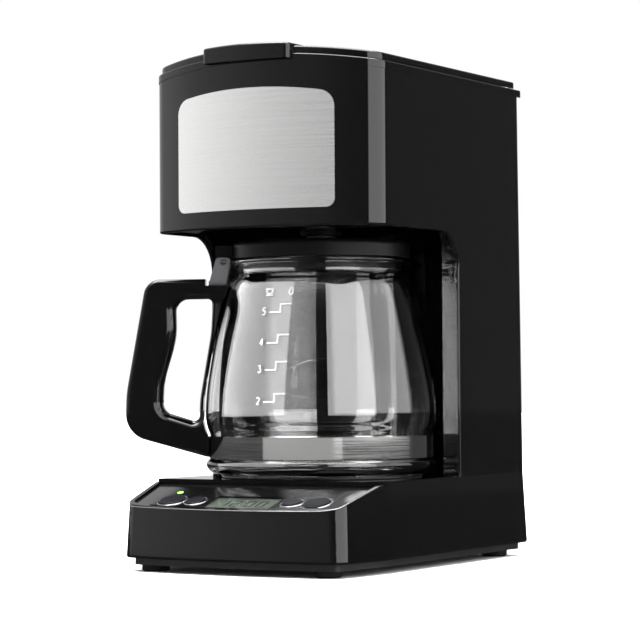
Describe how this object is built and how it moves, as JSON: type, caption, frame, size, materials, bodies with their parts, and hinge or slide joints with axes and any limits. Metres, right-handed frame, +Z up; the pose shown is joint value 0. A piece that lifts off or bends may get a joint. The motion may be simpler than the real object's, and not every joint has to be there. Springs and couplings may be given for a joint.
{
  "type": "drip coffee maker",
  "caption": "Countertop drip coffee maker with a C-shaped body, steel front plate, flip-up lid, glass carafe with a side handle and a sloped control panel.",
  "frame": {"origin": "on the counter, under the middle of the machine's width and half way between the front and the back of its base", "axes": "+Z up, -Y out of the front towards the user, +X to the right of a user who faces the machine"},
  "size_m": [0.164, 0.2097, 0.2706],
  "materials": {
    "black_shell": "high gloss black moulding",
    "handle_plastic": "gloss black moulding",
    "fascia": "gloss black panel",
    "inner_plastic": "fine matte black moulding",
    "wet_plastic": "satin dark grey moulding",
    "tank_plastic": "satin dark moulding",
    "button_plastic": "gloss black cap with a light ring",
    "display_window": "clear window",
    "display": "grey green display",
    "lamp": "green lens",
    "circuit_board": "green laminate",
    "switch_body": "black switch bodies",
    "foot_rubber": "matte black rubber",
    "hose_silicone": "translucent silicone",
    "plate_coating": "non-stick coated plate",
    "heater_metal": "drawn aluminium",
    "plated_steel": "zinc plated steel",
    "front_steel": "horizontally brushed steel",
    "band_steel": "polished steel band",
    "bracket_metal": "grey satin bracket",
    "mesh": "fine steel mesh",
    "carafe_clear": "clear borosilicate glass"
  },
  "bodies": {
    "machine": {"base_shell": "black_shell", "main_housing": "black_shell", "bay_liner": "black_shell", "top_rim": "black_shell", "control_panel": "fascia", "bottom_cover": "inner_plastic", "basket_carrier": "inner_plastic", "cord_gland": "inner_plastic", "spray_head": "wet_plastic", "check_valve": "wet_plastic", "water_tank": "tank_plastic", "lcd_window": "display_window", "lcd_module": "display", "lamp_lens": "lamp", "control_board": "circuit_board", "power_board": "circuit_board", "tact_switches": "switch_body", "feet": "foot_rubber", "plate_gasket": "foot_rubber", "cold_hose": "hose_silicone", "riser_hose": "hose_silicone", "warming_plate": "plate_coating", "heater_element": "heater_metal", "water_tube": "heater_metal", "heater_clamp": "plated_steel", "thermostat": "plated_steel", "thermal_fuse": "plated_steel", "hose_clamps": "plated_steel", "base_screws": "plated_steel", "housing_screws": "plated_steel", "lid_hinge_pins": "plated_steel", "steel_plate": "front_steel"},
    "carafe": {"carafe_glass": "carafe_clear", "carafe_band": "band_steel", "carafe_handle": "handle_plastic", "handle_cover": "handle_plastic", "handle_screw": "plated_steel", "lid_bracket": "bracket_metal", "lid_pin": "plated_steel"},
    "carafe_cap": {"carafe_lid": "black_shell"},
    "lid": {"lid_shell": "black_shell", "lid_liner": "inner_plastic"},
    "basket": {"brew_basket": "inner_plastic", "mesh_filter": "mesh", "valve_spring": "plated_steel"},
    "valve": {"drip_valve": "wet_plastic", "valve_seal": "foot_rubber"},
    "set_key": {"set_button": "button_plastic"},
    "hour_key": {"hour_button": "button_plastic"},
    "minute_key": {"minute_button": "button_plastic"},
    "brew_key": {"brew_button": "button_plastic"}
  },
  "joints": [
    {"name": "lid_hinge", "type": "hinge", "parent": "machine", "child": "lid", "pos_m": [0, 0.1, 0.2606], "axis": [-1, 0, 0], "range_deg": [0, 90]},
    {"name": "carafe_slide", "type": "slide", "parent": "machine", "child": "carafe", "axis": [0, -1, 0], "range_m": [0, 0.16]},
    {"name": "carafe_lid_hinge", "type": "hinge", "parent": "carafe", "child": "carafe_cap", "pos_m": [-0.04515, -0.03159, 0.1614], "axis": [0.5075, -0.8616, 0], "range_deg": [0, 2.5]},
    {"name": "basket_lift", "type": "slide", "parent": "machine", "child": "basket", "axis": [0, 0, 1], "range_m": [0, 0.006]},
    {"name": "drip_stop", "type": "slide", "parent": "basket", "child": "valve", "axis": [0, 0, 1], "range_m": [0, 0.003], "stiffness_N_per_m": 300, "springref_m": -0.004, "deforming": ["valve_spring"]},
    {"name": "set_press", "type": "slide", "parent": "machine", "child": "set_key", "axis": [0, 0.2785, -0.9604], "range_m": [0, 0.0008], "stiffness_N_per_m": 500, "springref_m": -0.0008},
    {"name": "hour_press", "type": "slide", "parent": "machine", "child": "hour_key", "axis": [0, 0.2785, -0.9604], "range_m": [0, 0.0008], "stiffness_N_per_m": 500, "springref_m": -0.0008},
    {"name": "minute_press", "type": "slide", "parent": "machine", "child": "minute_key", "axis": [0, 0.2785, -0.9604], "range_m": [0, 0.0008], "stiffness_N_per_m": 500, "springref_m": -0.0008},
    {"name": "brew_press", "type": "slide", "parent": "machine", "child": "brew_key", "axis": [0, 0.2785, -0.9604], "range_m": [0, 0.0008], "stiffness_N_per_m": 500, "springref_m": -0.0008}
  ]
}
